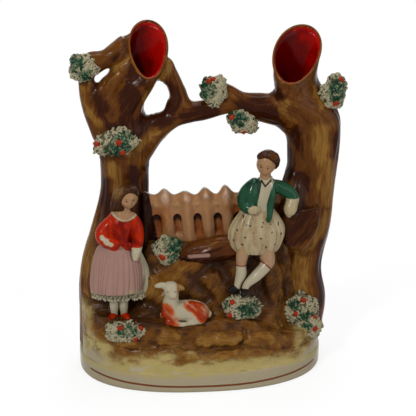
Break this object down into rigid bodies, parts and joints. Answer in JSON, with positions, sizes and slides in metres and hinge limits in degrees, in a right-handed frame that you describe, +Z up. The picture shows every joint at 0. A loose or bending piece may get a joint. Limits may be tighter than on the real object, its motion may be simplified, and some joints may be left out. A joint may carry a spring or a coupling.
{
  "type": "spill vase",
  "caption": "Glazed pottery spill vase: hollow tree trunks with slanted red-lined mouths, joined by a bough over a fence, with a girl, a boy and a lamb on an oval plinth.",
  "frame": {"origin": "centre of the plinth's underside, on the plane that it stands on", "axes": "+Z up, the modelled front faces -Y, +X to the right of someone facing the front"},
  "size_m": [0.1657, 0.0699, 0.2134],
  "materials": {
    "plinth_glaze": "gloss glaze",
    "bark_glaze": "gloss glaze",
    "back_glaze": "gloss glaze",
    "dark_wood_glaze": "gloss glaze",
    "ground_glaze": "gloss glaze",
    "fence_glaze": "gloss glaze",
    "mauve_glaze": "gloss glaze",
    "white_glaze": "gloss glaze",
    "cream_glaze": "gloss glaze",
    "orange_red_glaze": "gloss glaze",
    "flesh_glaze": "gloss glaze",
    "hair_glaze": "gloss glaze",
    "green_glaze": "gloss glaze",
    "black_glaze": "gloss glaze",
    "flower_clay": "gloss glaze"
  },
  "bodies": {
    "root": {"plinth": "plinth_glaze", "bottom_slab": "plinth_glaze", "left_trunk_front": "bark_glaze", "right_trunk_front": "bark_glaze", "left_upper_bough": "bark_glaze", "left_lower_bough": "bark_glaze", "cross_bough": "bark_glaze", "mouth_strut": "bark_glaze", "right_bough": "bark_glaze", "left_trunk_back": "back_glaze", "right_trunk_back": "back_glaze", "fallen_log": "dark_wood_glaze", "elbow_stump": "dark_wood_glaze", "ground_mound": "ground_glaze", "fence_panel": "fence_glaze", "girl_skirt": "mauve_glaze", "girl_petticoat": "white_glaze", "girl_right_leg": "white_glaze", "girl_left_leg": "white_glaze", "boy_torso": "white_glaze", "boy_right_leg": "white_glaze", "boy_left_leg": "white_glaze", "lamb_body": "white_glaze", "lamb_head": "white_glaze", "lamb_ears": "white_glaze", "boy_kilt": "cream_glaze", "girl_bodice": "orange_red_glaze", "girl_right_arm": "orange_red_glaze", "girl_left_arm": "orange_red_glaze", "girl_shoes": "orange_red_glaze", "girl_head": "flesh_glaze", "boy_head": "flesh_glaze", "girl_hair": "hair_glaze", "boy_hair": "hair_glaze", "boy_right_arm": "green_glaze", "boy_left_arm": "green_glaze", "boy_jacket_right": "green_glaze", "boy_jacket_left": "green_glaze", "boy_shoes": "black_glaze", "flowers_left_tip": "flower_clay", "flowers_left_trunk": "flower_clay", "flowers_stub": "flower_clay", "flowers_cross_bough": "flower_clay", "flowers_right_trunk": "flower_clay", "flowers_fence": "flower_clay", "flowers_boy": "flower_clay", "flowers_right_foot": "flower_clay", "flowers_right_edge": "flower_clay", "flowers_girl": "flower_clay"}
  },
  "joints": []
}
